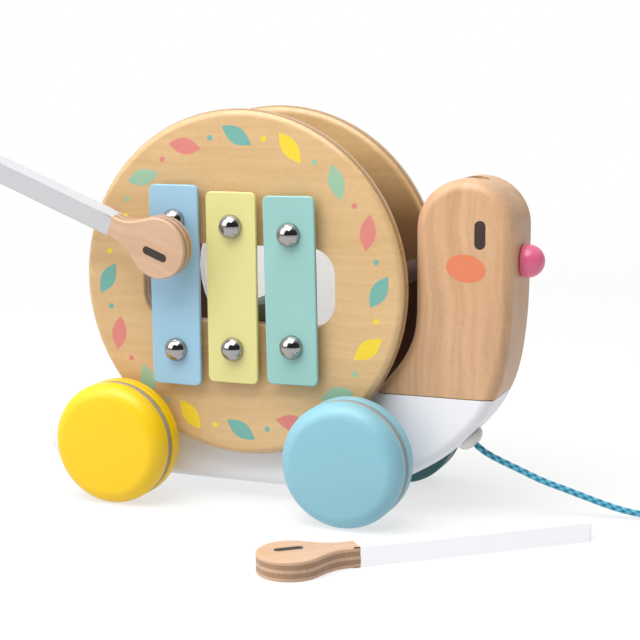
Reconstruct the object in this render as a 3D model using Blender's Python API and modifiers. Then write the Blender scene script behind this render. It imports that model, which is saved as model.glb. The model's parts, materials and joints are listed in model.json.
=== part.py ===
"""A wooden pull along snail. Its shell is two plywood discs with a xylophone on one side and a drum
skin on the other. It has four wheels, a pull cord and two mallets. Metres, +Z up, +X towards the
snail's head, and the xylophone faces -Y."""

import math

import bmesh
import bpy
from mathutils import Euler, Matrix, Vector

GAP = 0.0003  # air between two pieces that touch
BORE_CLEARANCE = 0.0004  # round a turning axle

# The toy's centre line stands here on the floor, so that the whole set is centred on the origin
TOY_X = -0.0034
TOY_Y = 0.0336

# Body board: the white foot and the beech head are cut from one outline
BODY_THICKNESS = 0.037
BODY_ROUNDING = 0.005
SEAM_HEIGHT = 0.0553
FOOT_BOTTOM = 0.0072
TAIL_RADIUS = 0.0154
TAIL_X = -0.0938
HEAD_RADIUS = 0.02175
HEAD_X = 0.10165
HEAD_TOP = 0.1508
SOCKET_X = 0.1029
SOCKET_RADIUS = 0.0053
SOCKET_DEPTH = 0.034
HEAD_DOWEL_RADIUS = 0.004
HEAD_DOWELS = ((0.0800, 0.012), (0.1030, 0.0096))  # place in X, and reach either side of the seam

# Nose: a ball with a flat, on a peg
NOSE_AT = (0.1238, 0.0, 0.1148)
NOSE_RADIUS = 0.00735
NOSE_LIFT = 0.002  # of the ball's middle above its flat
NOSE_PEG_RADIUS = 0.0025
NOSE_PEG_LENGTH = 0.009

# Shell discs
SHELL_RADIUS = 0.0785
SHELL_HEIGHT = 0.102
SHELL_THICKNESS = 0.0085
SHELL_ROUNDING = 0.0036
WINDOW_SIZE = (0.0944, 0.0356)
WINDOW_CORNER = 0.012
WINDOW_AT = (-0.0009, 0.0003)  # from the disc's middle
DRUM_HOLE_RADIUS = 0.0385
DRUM_SKIN_RADIUS = 0.0412
DRUM_SKIN_THICKNESS = 0.0008
DRUM_SKIN_RISE = 0.0015
SHELL_PIN_RADIUS = 0.003
SHELL_PIN_DEPTH = 0.0045  # into each disc
SHELL_PIN_X = (-0.020, 0.020)
SHELL_PIN_HEIGHT = 0.0335
CROSS_DOWEL_RADIUS = 0.005
CROSS_DOWEL_DEPTH = 0.0035  # into each disc
CROSS_DOWEL_X = {"front": 0.0680, "rear": -0.0650}
CROSS_DOWEL_HEIGHT = 0.106

# Gong inside the shell, and the post that it is screwed to
BELL_AT = (0.0093, -0.0065, 0.0774)
BELL_RADIUS = 0.018
BELL_DEPTH = 0.008
BELL_WALL = 0.0012
BELL_HOLE_RADIUS = 0.0022
BELL_SCREW_RADIUS = 0.0016
BELL_SCREW_LENGTH = 0.0068
POST_RADIUS = 0.0055
POST_FOOT = 0.0416
POST_RISE = 0.0075  # above the screw

# Xylophone: name, middle in X, length, half the screw spacing, tilt in degrees, colour
BARS = (
    ("bar_long", -0.0296, 0.0916, 0.0295, 0.0, (0.36, 0.57, 0.72)),
    ("bar_middle", -0.0013, 0.0864, 0.0277, 0.0, (0.78, 0.73, 0.31)),
    ("bar_short", 0.0270, 0.0839, 0.0250, 0.9, (0.34, 0.60, 0.56)),
)
BAR_WIDTH = 0.0244
BAR_THICKNESS = 0.0022
BAR_CORNER = 0.0028
BAR_EDGE = 0.0005
BAR_HEIGHT = 0.101
PAD_RADIUS = 0.0058
PAD_THICKNESS = 0.0022
SCREW_SHANK = 0.002
SCREW_HOLE = 0.0025
SCREW_HEAD_RADIUS = 0.0053
SCREW_HEAD_HEIGHT = 0.0044
SCREW_DEPTH = 0.005

# Running gear
WHEEL_RADIUS = 0.0281
WHEEL_INNER = 0.031
WHEEL_OUTER = 0.052
WHEEL_SHOULDER = 0.007
WHEEL_CROWN = 0.0006
WHEEL_BACK_ROUNDING = 0.0016
WHEEL_STEPS = 32
FRONT_WHEEL_X = 0.0562
REAR_WHEEL_X = -0.0575
AXLE_RADIUS = 0.0035
AXLE_END = 0.044
TYRE_MIDDLE = 0.04
TYRE_SECTION = 0.0018
TYRE_RECESS = 0.0001
SPACER_RADIUS = 0.0065

# Cord, its gland under the chin and the ball that the child holds
CORD_DIAMETER = 0.003
CHIN = (0.1005, 0.0338)
CHIN_SLOPE = 45.0
GLAND_RADIUS = 0.0066
GLAND_HEIGHT = 0.0042
GLAND_STEM_RADIUS = 0.0035
GLAND_STEM_LENGTH = 0.012
COIL_CENTRE = (0.2050, 0.0005)
COIL_RADIUS = 0.0165
COIL_LAYER = 0.003
COIL_LIFT = 0.00085
COIL_SOFTNESS = 0.0012
TIE_WALL = 0.0005
TIE_WIDTH = 0.005
BALL_CENTRE = (0.2220, -0.0310, 0.0092)
BALL_RADIUS = 0.009

# Mallets: one plywood board each
MALLET_LENGTH = 0.1458
MALLET_HEAD_RADIUS = 0.0139
MALLET_THICKNESS = 0.0085
MALLET_STICK_WIDTH = 0.0096
MALLET_CORNER = 0.0022
MALLET_EDGE = 0.0008
# Name, place of the head's middle, and the turns about the stick, the face and the upright
MALLETS = (
    ("mallet_floor", (0.0569, -0.1053, MALLET_THICKNESS / 2), 0.0, 39.2, 0.0),
    ("mallet_striking", (-0.0305, -0.0433, 0.1199), -6.5, 158.3, 90.0),
)

OBJECT_NAME = "pull_along_snail"
WOOD = (0.60, 0.40, 0.22)
PLY = (0.66, 0.46, 0.25)
WHITE = (0.86, 0.86, 0.88)
STEEL = (0.62, 0.62, 0.63)


# ---------------------------------------------------------------- scene helpers


def clear_scene():
    for old in list(bpy.data.objects):
        bpy.data.objects.remove(old, do_unlink=True)


def new_collection(name):
    made = bpy.data.collections.new(name)
    bpy.context.scene.collection.children.link(made)
    return made


def finish(name, colour, roughness, metallic=0.0):
    material = bpy.data.materials.new(name)
    material.use_nodes = True
    shader = material.node_tree.nodes["Principled BSDF"]
    shader.inputs["Base Color"].default_value = (*colour, 1.0)
    shader.inputs["Roughness"].default_value = roughness
    shader.inputs["Metallic"].default_value = metallic
    return material


def place(obj, location=(0.0, 0.0, 0.0), rotation=None, collection=None):
    """Puts an object under the toy's origin, in the parts unless another collection is given."""
    (collection or parts).objects.link(obj)
    obj.parent = toy
    obj.location = location
    if rotation is not None:
        obj.rotation_euler = rotation
    return obj


def facing(direction):
    """The turn that points local +Z along a direction."""
    return Vector(direction).to_track_quat("Z", "Y").to_euler()


def as_cutter(obj):
    obj.hide_render = True
    obj.display_type = "WIRE"
    return obj


def cut(obj, *tools):
    for tool in tools:
        boolean = obj.modifiers.new("cut " + tool.name, "BOOLEAN")
        boolean.operation = "DIFFERENCE"
        boolean.solver = "EXACT"
        boolean.object = tool


def round_edges(obj, width, segments=2):
    bevel = obj.modifiers.new("rounded edges", "BEVEL")
    bevel.width = width
    bevel.segments = segments
    bevel.limit_method = "ANGLE"
    bevel.angle_limit = math.radians(50)


# ---------------------------------------------------------------- shape helpers


def arc(middle, radius, start, end, steps):
    """Points along an arc, in degrees, with both ends."""
    found = []
    for i in range(steps + 1):
        angle = math.radians(start + (end - start) * i / steps)
        found.append((middle[0] + radius * math.cos(angle), middle[1] + radius * math.sin(angle)))
    return found


def flow(points, steps):
    """A smooth curve through the points, without its last point."""
    path = [Vector(p) for p in points]
    path = [2 * path[0] - path[1], *path, 2 * path[-1] - path[-2]]
    found = []
    for a, b, c, d in zip(path, path[1:], path[2:], path[3:]):
        for i in range(steps):
            t = i / steps
            found.append(
                0.5 * (2 * b + (c - a) * t + (2 * a - 5 * b + 4 * c - d) * t**2)
                + 0.5 * (3 * b - a - 3 * c + d) * t**3
            )
    return found


def rounded_rectangle(width, height, corner, steps=5):
    x, y = width / 2 - corner, height / 2 - corner
    outline = []
    for middle, start in (((x, y), 0), ((-x, y), 90), ((-x, -y), 180), ((x, -y), 270)):
        outline += arc(middle, corner, start, start + 90, steps)
    return outline


def board(name, outline, thickness, material=None):
    """A flat board from its outline, facing -Y once it is stood up, as a mesh with welded caps."""
    curve = bpy.data.curves.new(name, "CURVE")
    curve.dimensions = "2D"
    curve.fill_mode = "BOTH"
    curve.extrude = thickness / 2
    spline = curve.splines.new("POLY")
    spline.points.add(len(outline) - 1)
    for point, at in zip(spline.points, outline):
        point.co = (at[0], at[1], 0.0, 1.0)
    spline.use_cyclic_u = True
    flat = bpy.data.objects.new(name + " outline", curve)
    bpy.context.scene.collection.objects.link(flat)
    graph = bpy.context.evaluated_depsgraph_get()
    mesh = bpy.data.meshes.new_from_object(flat.evaluated_get(graph))
    bpy.data.objects.remove(flat)
    bpy.data.curves.remove(curve)
    welded = bmesh.new()
    welded.from_mesh(mesh)
    bmesh.ops.remove_doubles(welded, verts=welded.verts, dist=0.00001)
    bmesh.ops.recalc_face_normals(welded, faces=welded.faces)
    welded.to_mesh(mesh)
    welded.free()
    if material:
        mesh.materials.append(material)
    return bpy.data.objects.new(name, mesh)


STANDING = Euler((math.radians(90), 0.0, 0.0))


def turned(name, profile, material=None, steps=24, closed=False):
    """A turned piece about local Z. The profile is (radius, height) down its outer side."""
    mesh = bpy.data.meshes.new(name)
    edges = [(i, i + 1) for i in range(len(profile) - 1)]
    if closed:
        edges.append((len(profile) - 1, 0))
    mesh.from_pydata([(r, 0.0, h) for r, h in profile], edges, [])
    if material:
        mesh.materials.append(material)
    obj = bpy.data.objects.new(name, mesh)
    screw = obj.modifiers.new("turning", "SCREW")
    screw.steps = steps
    screw.render_steps = steps
    screw.use_merge_vertices = True
    screw.merge_threshold = 0.00001
    screw.use_smooth_shade = True
    return obj


def rod_profile(radius, low, high, chamfer=0.0):
    if not chamfer:
        return [(0.0, high), (radius, high), (radius, low), (0.0, low)]
    return [
        (0.0, high),
        (radius - chamfer, high),
        (radius, high - chamfer),
        (radius, low + chamfer),
        (radius - chamfer, low),
        (0.0, low),
    ]


def tube_profile(inner, outer, low, high):
    return [(inner, high), (outer, high), (outer, low), (inner, low)]


def tube_along(name, route, radius, material):
    """A round tube with flat caps along a route."""
    curve = bpy.data.curves.new(name, "CURVE")
    curve.dimensions = "3D"
    curve.bevel_depth = radius
    curve.bevel_resolution = 2
    curve.use_fill_caps = True
    spline = curve.splines.new("POLY")
    spline.points.add(len(route) - 1)
    for point, at in zip(spline.points, route):
        point.co = (*at, 1.0)
    curve.materials.append(material)
    return bpy.data.objects.new(name, curve)


def drill(name, radius, location, direction, low, high, steps=24):
    """A cylindrical cutter along a direction, between two distances from its location."""
    tool = turned(name, rod_profile(radius, low, high), steps=steps)
    return as_cutter(place(tool, location, facing(direction), cutters))


def box_cutter(name, low, high):
    shape = bmesh.new()
    size = Vector(high) - Vector(low)
    middle = (Vector(high) + Vector(low)) / 2
    bmesh.ops.create_cube(shape, size=1.0, matrix=Matrix.Diagonal((*size, 1.0)))
    mesh = bpy.data.meshes.new(name)
    shape.to_mesh(mesh)
    shape.free()
    return as_cutter(place(bpy.data.objects.new(name, mesh), middle, None, cutters))


# ---------------------------------------------------------------- body board


def body_outline():
    """Tail, flat bottom, chin, head and neck, running anticlockwise as seen from -Y."""
    tail_height = FOOT_BOTTOM + TAIL_RADIUS
    head_side = HEAD_X - HEAD_RADIUS
    outline = arc((TAIL_X, tail_height), TAIL_RADIUS, 90, 262, 10)
    outline += [(TAIL_X, FOOT_BOTTOM)]
    chin = [
        (0.0440, FOOT_BOTTOM),
        (0.0598, 0.0096),
        (0.0765, 0.0172),
        (0.0946, 0.0288),
        (0.1086, 0.0433),
        (0.1160, 0.0560),
        (0.1199, 0.0685),
        (0.1221, 0.0840),
        (0.1231, 0.1010),
        (HEAD_X + HEAD_RADIUS, HEAD_TOP - HEAD_RADIUS),
    ]
    outline += flow(chin, 3)
    outline += arc((HEAD_X, HEAD_TOP - HEAD_RADIUS), HEAD_RADIUS, 0, 180, 16)
    neck = [
        (head_side, 0.0920),
        (0.0786, 0.0819),
        (0.0745, 0.0722),
        (0.0680, 0.0634),
        (0.0605, 0.0556),
        (0.0500, 0.0490),
        (0.0360, 0.0440),
        (0.0180, 0.0413),
        (-0.0050, 0.0400),
        (TAIL_X, FOOT_BOTTOM + 2 * TAIL_RADIUS),
    ]
    outline += flow(neck, 2)
    return outline


def axle_bores():
    bore = AXLE_RADIUS + BORE_CLEARANCE
    half = BODY_THICKNESS / 2 + 0.002
    return [
        drill("bore front", bore, (FRONT_WHEEL_X, 0, WHEEL_RADIUS), (0, 1, 0), -half, half),
        drill("bore rear", bore, (REAR_WHEEL_X, 0, WHEEL_RADIUS), (0, 1, 0), -half, half),
    ]


def head_dowels():
    """Two upright dowels across the seam, and the holes they sit in."""
    wood = finish("dowel beech", WOOD, 0.6)
    hole = HEAD_DOWEL_RADIUS + GAP
    tools = []
    for i, (x, reach) in enumerate(HEAD_DOWELS, 1):
        at = (x, 0.0, SEAM_HEIGHT)
        rod = rod_profile(HEAD_DOWEL_RADIUS, -reach, reach, 0.0006)
        place(turned(f"head_dowel_{i}", rod, wood, 16), at)
        tools.append(drill(f"dowel hole {i}", hole, at, (0, 0, 1), -reach - GAP, reach + GAP, 16))
    return tools


def chin_direction():
    slope = math.radians(CHIN_SLOPE)
    return Vector((math.sin(slope), 0.0, -math.cos(slope)))


def foot_and_head():
    """One rounded board, cut across at the neck into the painted foot and the beech head."""
    outline = body_outline()
    far = 0.3
    seam_low = SEAM_HEIGHT - GAP / 2
    seam_high = SEAM_HEIGHT + GAP / 2
    above = box_cutter("above the seam", (-far, -far, seam_low), (far, far, far))
    below = box_cutter("below the seam", (-far, -far, -far), (far, far, seam_high))
    dowel_holes = head_dowels()

    foot = board("foot", outline, BODY_THICKNESS, finish("white lacquer", WHITE, 0.35))
    place(foot, rotation=STANDING)
    round_edges(foot, BODY_ROUNDING)
    gland_hole = drill(
        "gland hole",
        GLAND_STEM_RADIUS + GAP,
        (CHIN[0], 0, CHIN[1]),
        chin_direction(),
        -GLAND_STEM_LENGTH - 0.0005,
        0.005,
        16,
    )
    cut(foot, above, *axle_bores(), *dowel_holes, gland_hole, *shell_pins())

    head = board("head", outline, BODY_THICKNESS, finish("beech", (0.58, 0.37, 0.21), 0.45))
    place(head, rotation=STANDING)
    round_edges(head, BODY_ROUNDING)
    socket = drill(
        "mallet socket", SOCKET_RADIUS, (SOCKET_X, 0, HEAD_TOP), (0, 0, 1), -SOCKET_DEPTH, 0.01
    )
    peg_room = NOSE_PEG_LENGTH + 0.0005
    peg_hole = drill("nose hole", NOSE_PEG_RADIUS + GAP, NOSE_AT, (1, 0, 0), -peg_room, 0.004, 16)
    cut(head, below, *dowel_holes, socket, peg_hole)


def nose():
    """A painted ball with a flat back and a peg in the head's edge."""
    flat = -math.degrees(math.asin(NOSE_LIFT / NOSE_RADIUS))
    sweep = arc((0.0, NOSE_LIFT), NOSE_RADIUS, 90, flat, 9)
    profile = [(0.0, NOSE_RADIUS + NOSE_LIFT), *sweep[1:]]
    profile += [(NOSE_PEG_RADIUS, 0.0), (NOSE_PEG_RADIUS, -NOSE_PEG_LENGTH), (0.0, -NOSE_PEG_LENGTH)]
    red = finish("raspberry lacquer", (0.55, 0.08, 0.16), 0.2)
    place(turned("nose", profile, red, 20), NOSE_AT, facing((1, 0, 0)))


# ---------------------------------------------------------------- shell


def shell_pins():
    """Two hidden dowels that hold the discs to the foot, and the holes they sit in."""
    reach = BODY_THICKNESS / 2 + GAP + SHELL_PIN_DEPTH
    wood = finish("pin beech", WOOD, 0.6)
    rod = rod_profile(SHELL_PIN_RADIUS, -reach, reach, 0.0005)
    hole = SHELL_PIN_RADIUS + GAP
    tools = []
    for i, x in enumerate(SHELL_PIN_X, 1):
        at = (x, 0, SHELL_PIN_HEIGHT)
        place(turned(f"shell_pin_{i}", rod, wood, 12), at, facing((0, 1, 0)))
        tools.append(drill(f"pin hole {i}", hole, at, (0, 1, 0), -reach - GAP, reach + GAP, 12))
    return tools


def shell_spacers():
    """Two cross dowels that keep the discs parallel, let into their inner faces."""
    reach = BODY_THICKNESS / 2 + GAP + CROSS_DOWEL_DEPTH
    wood = finish("spacer beech", WOOD, 0.6)
    rod = rod_profile(CROSS_DOWEL_RADIUS, -reach, reach)
    hole = CROSS_DOWEL_RADIUS + GAP
    tools = []
    for end, x in CROSS_DOWEL_X.items():
        at = (x, 0, CROSS_DOWEL_HEIGHT)
        place(turned("shell_spacer_" + end, rod, wood, 20), at, facing((0, 1, 0)))
        tools.append(drill(f"spacer hole {end}", hole, at, (0, 1, 0), -reach - GAP, reach + GAP, 20))
    return tools


def disc(name, side):
    """One shell disc. side is -1 for the xylophone's and 1 for the drum's."""
    ply = finish(name + " plywood", PLY, 0.3)
    middle = BODY_THICKNESS / 2 + GAP + SHELL_THICKNESS / 2
    outline = arc((0.0, 0.0), SHELL_RADIUS, 0, 354, 59)
    obj = board(name, outline, SHELL_THICKNESS, ply)
    place(obj, (0.0, side * middle, SHELL_HEIGHT), STANDING)
    round_edges(obj, SHELL_ROUNDING, 2)
    return obj


def shell():
    near = disc("shell_disc_near", -1)
    far = disc("shell_disc_far", 1)
    dowel_holes = shell_spacers() + [bpy.data.objects[f"pin hole {i}"] for i in (1, 2)]
    window = board("window", rounded_rectangle(*WINDOW_SIZE, WINDOW_CORNER), 0.02)
    at = (WINDOW_AT[0], near.location.y, SHELL_HEIGHT + WINDOW_AT[1])
    as_cutter(place(window, at, STANDING, cutters))
    cut(near, window, *dowel_holes, *screw_holes())
    drum_hole = drill("drum hole", DRUM_HOLE_RADIUS, far.location, (0, 1, 0), -0.01, 0.01, 48)
    cut(far, drum_hole, *dowel_holes)


def drum_skin():
    """A thin white skin glued over the far disc's hole, on its inner face."""
    high = BODY_THICKNESS / 2
    profile = rod_profile(DRUM_SKIN_RADIUS, high - DRUM_SKIN_THICKNESS, high)
    white = finish("drum skin", (0.80, 0.80, 0.78), 0.5)
    at = (0.0, 0.0, SHELL_HEIGHT + DRUM_SKIN_RISE)
    place(turned("drum_skin", profile, white, 40), at, facing((0, 1, 0)))


def bell():
    """A small gong inside the shell, screwed to a post that stands on the foot."""
    steel = finish("bell steel", (0.16, 0.19, 0.17), 0.35, 1.0)
    wood = finish("post beech", WOOD, 0.6)
    outer = [(BELL_HOLE_RADIUS, 0.0), (0.50 * BELL_RADIUS, 0.0004), (0.80 * BELL_RADIUS, 0.0028)]
    profile = [(radius, BELL_DEPTH - drop) for radius, drop in outer]
    profile += [(BELL_RADIUS, 0.0), (BELL_RADIUS - BELL_WALL, 0.0), (0.0136, BELL_DEPTH - 0.0039)]
    profile += [(radius, BELL_DEPTH - BELL_WALL - drop) for radius, drop in reversed(outer[:2])]
    gong = turned("bell_gong", profile, steel, 24, closed=True)
    place(gong, BELL_AT, facing((0, -1, 0)))
    height = BELL_AT[2] - POST_FOOT + POST_RISE
    post = turned("bell_post", rod_profile(POST_RADIUS, 0.0, height, 0.0008), wood, 16)
    place(post, (BELL_AT[0], BELL_AT[1] + POST_RADIUS + 0.0013, POST_FOOT))
    screw_room = BELL_SCREW_LENGTH + 0.0007
    hole = drill(
        "bell screw hole", BELL_SCREW_RADIUS + GAP, BELL_AT, (0, 1, 0), -0.02, screw_room, 12
    )
    cut(post, hole)
    top = BELL_DEPTH + GAP
    profile = [(0.0, top + 0.0018), (0.0020, top + 0.0014), (0.0034, top), (BELL_SCREW_RADIUS, top)]
    profile += [(BELL_SCREW_RADIUS, -BELL_SCREW_LENGTH), (0.0, -BELL_SCREW_LENGTH)]
    screw = turned("bell_screw", profile, finish("bell screw steel", STEEL, 0.3, 1.0), 12)
    place(screw, BELL_AT, facing((0, -1, 0)))


# ---------------------------------------------------------------- xylophone


def disc_face():
    return BODY_THICKNESS / 2 + GAP + SHELL_THICKNESS


def screw_places():
    """Where each screw goes: bar name, end, X and Z."""
    found = []
    for name, x, _, half_spacing, tilt, _ in BARS:
        lean = math.radians(tilt)
        for end, sign in (("top", 1), ("bottom", -1)):
            dx = -sign * half_spacing * math.sin(lean)
            dz = sign * half_spacing * math.cos(lean)
            found.append((name, end, x + dx, BAR_HEIGHT + dz))
    return found


def screw_holes():
    hole = SCREW_SHANK + GAP
    return [
        drill(
            f"screw hole {name} {end}",
            hole,
            (x, -disc_face(), z),
            (0, 1, 0),
            -0.002,
            SCREW_DEPTH + GAP,
            12,
        )
        for name, end, x, z in screw_places()
    ]


def bars():
    middle = disc_face() + GAP + PAD_THICKNESS + GAP + BAR_THICKNESS / 2
    for name, x, length, _, tilt, colour in BARS:
        outline = rounded_rectangle(BAR_WIDTH, length, BAR_CORNER, 3)
        obj = board(name, outline, BAR_THICKNESS, finish(name + " enamel", colour, 0.3))
        turn = Matrix.Rotation(math.radians(-tilt), 4, "Y") @ STANDING.to_matrix().to_4x4()
        place(obj, (x, -middle, BAR_HEIGHT), turn.to_euler())
        round_edges(obj, BAR_EDGE, 1)
        for end_name, end, sx, sz in screw_places():
            if end_name == name:
                at = (sx, -middle, sz)
                cut(obj, drill(f"bar hole {name} {end}", SCREW_HOLE, at, (0, 1, 0), -0.004, 0.004, 12))


def screws_and_pads():
    bright = finish("chromed steel", (0.75, 0.75, 0.76), 0.08, 1.0)
    soft = finish("grey felt", (0.20, 0.19, 0.18), 0.95)
    pad_profile = tube_profile(SCREW_HOLE, PAD_RADIUS, GAP, GAP + PAD_THICKNESS)
    under_head = GAP + PAD_THICKNESS + GAP + BAR_THICKNESS + GAP
    crown = [
        (SCREW_HEAD_RADIUS * math.sin(t), under_head + SCREW_HEAD_HEIGHT * math.cos(t))
        for t in (math.radians(a) for a in (0, 22, 44, 66, 86))
    ]
    profile = [*crown, (SCREW_HEAD_RADIUS - 0.0002, under_head), (SCREW_SHANK, under_head)]
    profile += [(SCREW_SHANK, -SCREW_DEPTH), (0.0, -SCREW_DEPTH)]
    for name, end, x, z in screw_places():
        label = name.replace("bar", "") + "_" + end
        at = (x, -disc_face(), z)
        place(turned("pad" + label, pad_profile, soft, 14, closed=True), at, facing((0, -1, 0)))
        place(turned("screw" + label, profile, bright, 14), at, facing((0, -1, 0)))


# ---------------------------------------------------------------- running gear


def wheel_profile():
    """From the crown of the outer face, over the edge and the tyre groove, to the axle's hole."""
    lip = 0.0004
    groove = TYRE_SECTION + GAP
    groove_depth = 2 * TYRE_SECTION + 0.0004
    shoulder = (WHEEL_RADIUS - WHEEL_SHOULDER, WHEEL_OUTER - WHEEL_CROWN - WHEEL_SHOULDER)
    profile = [(0.0, WHEEL_OUTER), (0.6 * shoulder[0], WHEEL_OUTER - WHEEL_CROWN / 3)]
    profile += arc(shoulder, WHEEL_SHOULDER, 90, 0, 4)
    profile += [(WHEEL_RADIUS, TYRE_MIDDLE + groove + lip)]
    profile += [(WHEEL_RADIUS - lip, TYRE_MIDDLE + groove)]
    profile += [(WHEEL_RADIUS - groove_depth, TYRE_MIDDLE + groove)]
    profile += [(WHEEL_RADIUS - groove_depth, TYRE_MIDDLE - groove)]
    profile += [(WHEEL_RADIUS - lip, TYRE_MIDDLE - groove)]
    profile += [(WHEEL_RADIUS, TYRE_MIDDLE - groove - lip)]
    back = (WHEEL_RADIUS - WHEEL_BACK_ROUNDING, WHEEL_INNER + WHEEL_BACK_ROUNDING)
    profile += arc(back, WHEEL_BACK_ROUNDING, 0, -90, 2)
    hole = AXLE_RADIUS + GAP
    profile += [(hole, WHEEL_INNER), (hole, AXLE_END + GAP), (0.0, AXLE_END + GAP)]
    return profile


def running_gear():
    """Two sets of wheels, each fixed on an axle that turns in the foot."""
    rubber = finish("tyre rubber", (0.30, 0.25, 0.22), 0.8)
    steel = finish("axle steel", STEEL, 0.35, 1.0)
    plastic = finish("spacer plastic", (0.80, 0.80, 0.78), 0.5)
    colours = {
        "wheel_rear_near": (1.00, 0.72, 0.02),
        "wheel_front_near": (0.28, 0.52, 0.62),
        "wheel_rear_far": (0.28, 0.52, 0.62),
        "wheel_front_far": (0.05, 0.17, 0.18),
    }
    tyre_radius = WHEEL_RADIUS - TYRE_RECESS - TYRE_SECTION
    tyre_profile = [
        (tyre_radius + TYRE_SECTION * math.cos(t), TYRE_MIDDLE + TYRE_SECTION * math.sin(t))
        for t in (math.radians(90 - 45 * i) for i in range(8))
    ]
    spacer = tube_profile(
        AXLE_RADIUS + BORE_CLEARANCE,
        SPACER_RADIUS,
        BODY_THICKNESS / 2 + GAP,
        WHEEL_INNER - GAP,
    )
    for end, x in (("front", FRONT_WHEEL_X), ("rear", REAR_WHEEL_X)):
        at = (x, 0, WHEEL_RADIUS)
        axle = turned(end + "_axle", rod_profile(AXLE_RADIUS, -AXLE_END, AXLE_END, 0.0005), steel, 24)
        place(axle, at, facing((0, 1, 0)))
        for side, way in (("near", -1), ("far", 1)):
            out = facing((0, way, 0))
            label = f"{end}_{side}"
            paint = finish(f"{label} lacquer", colours["wheel_" + label], 0.25)
            wheel = turned("wheel_" + label, wheel_profile(), paint, WHEEL_STEPS)
            tyre = turned("tyre_" + label, tyre_profile, rubber, WHEEL_STEPS, closed=True)
            place(wheel, at, out)
            place(tyre, at, out)
            place(turned("spacer_" + label, spacer, plastic, 16, closed=True), at, out)


# ---------------------------------------------------------------- cord


def gland():
    """A bead set in the chin, with a bore that the cord comes out of."""
    bore = CORD_DIAMETER / 2 + GAP
    profile = [(bore, GLAND_HEIGHT)]
    profile += [
        (GLAND_RADIUS * math.sin(t), GAP + (GLAND_HEIGHT - GAP) * math.cos(t))
        for t in (math.radians(a) for a in (32, 50, 68, 84))
    ]
    profile += [(GLAND_RADIUS - 0.0003, GAP), (GLAND_STEM_RADIUS, GAP)]
    profile += [(GLAND_STEM_RADIUS, -GLAND_STEM_LENGTH), (bore, -GLAND_STEM_LENGTH)]
    ivory = finish("ivory bead", (0.80, 0.78, 0.72), 0.3)
    obj = turned("cord_gland", profile, ivory, 20, closed=True)
    place(obj, (CHIN[0], 0.0, CHIN[1]), facing(chin_direction()))


def cord_route():
    """From inside the gland, down to the floor and on to the coil."""
    out = chin_direction()
    start = Vector((CHIN[0], 0.0, CHIN[1]))
    resting = CORD_DIAMETER / 2 + 0.0001
    arrival = COIL_CENTRE[1] + COIL_RADIUS + CORD_DIAMETER / 2
    return [
        start - out * 0.0060,
        start + out * 0.0045,
        (0.1068, 0.0003, 0.0281),
        (0.1118, 0.0006, 0.0254),
        (0.1218, 0.0016, 0.0211),
        (0.1333, 0.0034, 0.0160),
        (0.1440, 0.0055, 0.0122),
        (0.1562, 0.0086, 0.0076),
        (0.1660, 0.0110, 0.0043),
        (0.1752, 0.0133, 0.0023),
        (0.1850, 0.0156, resting),
        (COIL_CENTRE[0] - 0.0124, arrival - 0.0013, resting + 0.0004),
    ]


def tail_route():
    """From the coil's top layer into the ball."""
    height = COIL_LIFT + 1.5 * COIL_LAYER
    side = COIL_CENTRE[0] + COIL_RADIUS + CORD_DIAMETER / 2
    return [
        (side + 0.0001, COIL_CENTRE[1] - 0.0122, height + 0.0003),
        (side - 0.0004, COIL_CENTRE[1] - 0.0170, height + 0.0022),
        (BALL_CENTRE[0], BALL_CENTRE[1] + 0.0092, BALL_CENTRE[2]),
        (BALL_CENTRE[0], BALL_CENTRE[1] + 0.0050, BALL_CENTRE[2]),
        (BALL_CENTRE[0], BALL_CENTRE[1] + 0.0005, BALL_CENTRE[2]),
    ]


def cord_and_coil():
    blue = finish("blue braid", (0.03, 0.30, 0.50), 0.7)
    radius = CORD_DIAMETER / 2
    route = flow(cord_route(), 2) + [Vector(cord_route()[-1])]
    place(tube_along("cord", route, radius, blue))
    tail = flow(tail_route(), 2) + [Vector(tail_route()[-1])]
    place(tube_along("cord_tail", tail, radius, blue))
    inner = COIL_RADIUS - CORD_DIAMETER
    outer = COIL_RADIUS + CORD_DIAMETER
    low = COIL_LIFT
    high = COIL_LIFT + 2 * COIL_LAYER
    soft = COIL_SOFTNESS
    profile = [(inner + soft, high), (outer - soft, high), (outer, high - soft), (outer, low + soft)]
    profile += [(outer - soft, low), (inner + soft, low), (inner, low + soft), (inner, high - soft)]
    ring = turned("cord_coil", profile, blue, 28, closed=True)
    place(ring, (*COIL_CENTRE, 0.0))


def coil_tie():
    """A flat tie round the coil's turns, on the side away from the toy."""
    inside = (2 * CORD_DIAMETER + 5 * GAP, 2 * COIL_LAYER + 2 * GAP)
    outside = (inside[0] + 2 * TIE_WALL, inside[1] + 2 * TIE_WALL)
    tape = finish("tie", (0.75, 0.73, 0.68), 0.8)
    band = board("coil_tie", rounded_rectangle(*outside, 0.0015, 3), TIE_WIDTH, tape)
    hole = board("tie opening", rounded_rectangle(*inside, 0.0011, 3), 3 * TIE_WIDTH)
    at = (COIL_CENTRE[0] + COIL_RADIUS, COIL_CENTRE[1] + 0.0005, COIL_LIFT + COIL_LAYER)
    place(band, at, STANDING)
    cut(band, as_cutter(place(hole, at, STANDING, cutters)))


def pull_ball():
    """A turned ball with a bore that the cord's end is knotted in."""
    bore = CORD_DIAMETER / 2 + GAP
    start = math.degrees(math.acos(bore / BALL_RADIUS))
    profile = arc((0.0, 0.0), BALL_RADIUS, start, -start, 8)
    wood = finish("ball beech", WOOD, 0.4)
    ball = turned("pull_ball", profile, wood, 20, closed=True)
    place(ball, BALL_CENTRE, facing((0, 1, 0)))


# ---------------------------------------------------------------- mallets


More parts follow.
